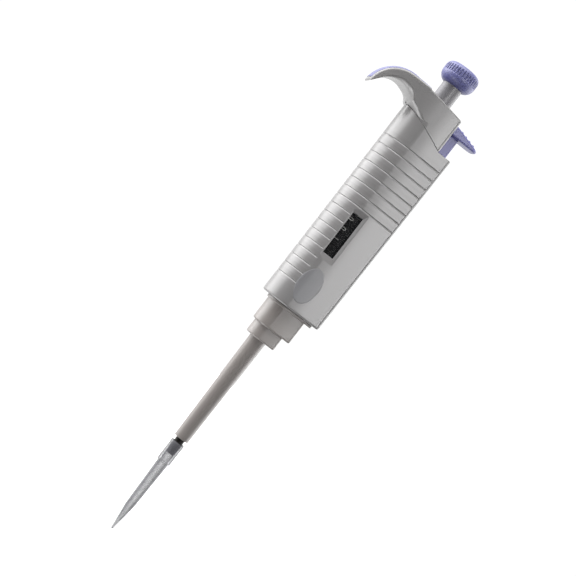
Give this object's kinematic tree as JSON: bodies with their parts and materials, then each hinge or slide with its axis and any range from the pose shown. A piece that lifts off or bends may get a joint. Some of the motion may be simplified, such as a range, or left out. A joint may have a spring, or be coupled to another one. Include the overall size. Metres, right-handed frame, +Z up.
{
  "type": "adjustable micropipette",
  "caption": "Hand-held adjustable micropipette with a turning plunger knob, number-drum counter, finger hook, tip ejector and a removable tip.",
  "frame": {"origin": "centre of the disposable tip's orifice", "axes": "+Z up the plunger axis to the knob, +X towards the ejector, -X towards the finger hook, -Y out of the volume window"},
  "size_m": [0.0621, 0.0258, 0.2717],
  "materials": {
    "shell_grey": "satin moulded plastic",
    "stem_grey": "satin moulded plastic",
    "lavender": "satin moulded plastic",
    "sleeve_grey": "satin moulded plastic",
    "nozzle_black": "satin moulded plastic",
    "drum_black": "matte moulded plastic",
    "dark_polymer": "matte moulded plastic",
    "acetal": "smooth acetal",
    "seal_white": "waxy seal plastic",
    "o_ring_rubber": "matte rubber",
    "steel": "ground steel",
    "brass": "turned brass",
    "lens": "clear window",
    "tip_clear": "translucent polypropylene"
  },
  "bodies": {
    "handle": {"handle": "shell_grey", "top_cap": "shell_grey", "hook_inlay": "lavender", "window_lens": "lens", "handle_base": "dark_polymer", "nozzle": "nozzle_black", "nozzle_nut": "steel", "piston_seal": "seal_white", "o_ring": "o_ring_rubber", "seal_retainer": "acetal", "piston_spring": "steel", "blowout_spring": "steel", "counter_base_plate": "dark_polymer", "counter_top_plate": "dark_polymer", "counter_arbor": "acetal", "drum_spacer": "drum_black", "carry_shaft": "steel", "nut_guide": "dark_polymer", "stop_ring": "steel", "stem_bush": "acetal", "ejector_spring": "steel"},
    "plunger": {"piston": "steel", "piston_head": "brass"},
    "blowout": {"blowout_plate": "steel"},
    "knob": {"spindle": "steel", "button_stem": "stem_grey", "knob": "lavender"},
    "setting_nut": {"setting_nut": "acetal"},
    "units": {"drum_units": "drum_black", "drive_hub": "acetal"},
    "tens": {"drum_tens": "drum_black"},
    "hundreds": {"drum_hundreds": "drum_black"},
    "carry_tens": {"carry_pinion_tens": "acetal"},
    "carry_hundreds": {"carry_pinion_hundreds": "acetal"},
    "ejector": {"ejector_button": "lavender", "ejector_rod": "steel", "rod_clip": "steel", "ejector_sleeve": "sleeve_grey"},
    "tip": {"tip": "tip_clear"}
  },
  "joints": [
    {"name": "plunger_travel", "type": "slide", "parent": "handle", "child": "plunger", "axis": [0, 0, -1], "range_m": [0, 0.008], "stiffness_N_per_m": 400, "springref_m": -0.008, "deforming": ["piston_spring"]},
    {"name": "knob_turn", "type": "hinge", "parent": "plunger", "child": "knob", "pos_m": [0, 0, 0.2611], "axis": [0, 0, 1], "range_deg": [-3240, 0]},
    {"name": "setting_nut_travel", "type": "slide", "parent": "plunger", "child": "setting_nut", "axis": [0, 0, 1], "range_m": [0, 0.00541]},
    {"name": "units_drum_turn", "type": "hinge", "parent": "handle", "child": "units", "pos_m": [0, 0, 0.1829], "axis": [0, 0, 1], "range_deg": [-3241, 0]},
    {"name": "tens_drum_turn", "type": "hinge", "parent": "handle", "child": "tens", "pos_m": [0, 0, 0.1772], "axis": [0, 0, 1], "range_deg": [-324.5, 0]},
    {"name": "hundreds_drum_turn", "type": "hinge", "parent": "handle", "child": "hundreds", "pos_m": [0, 0, 0.1715], "axis": [0, 0, 1], "range_deg": [-32.9, 0]},
    {"name": "carry_tens_turn", "type": "hinge", "parent": "handle", "child": "carry_tens", "pos_m": [0.0116, 0.0069, 0.18], "axis": [0, 0, 1], "range_deg": [0, 811]},
    {"name": "carry_hundreds_turn", "type": "hinge", "parent": "handle", "child": "carry_hundreds", "pos_m": [0.0116, 0.0069, 0.1743], "axis": [0, 0, 1], "range_deg": [0, 82]},
    {"name": "blowout_travel", "type": "slide", "parent": "handle", "child": "blowout", "axis": [0, 0, -1], "range_m": [0, 0.00201], "deforming": ["blowout_spring"]},
    {"name": "ejector_travel", "type": "slide", "parent": "handle", "child": "ejector", "axis": [0, 0, -1], "range_m": [0, 0.0095], "stiffness_N_per_m": 300, "springref_m": -0.01, "deforming": ["ejector_spring"]},
    {"name": "tip_pull_off", "type": "slide", "parent": "ejector", "child": "tip", "axis": [0, 0, -1], "range_m": [0, 0.05]}
  ],
  "couplings": [
    {"joint": "setting_nut_travel", "follows": "knob_turn", "m_per_rad": -0.000095493},
    {"joint": "units_drum_turn", "follows": "knob_turn", "ratio": 1},
    {"joint": "tens_drum_turn", "follows": "knob_turn", "ratio": 0.1},
    {"joint": "hundreds_drum_turn", "follows": "knob_turn", "ratio": 0.01},
    {"joint": "carry_tens_turn", "follows": "knob_turn", "ratio": -0.25},
    {"joint": "carry_hundreds_turn", "follows": "knob_turn", "ratio": -0.025},
    {"joint": "blowout_travel", "follows": "plunger_travel", "ratio": 0.25}
  ]
}
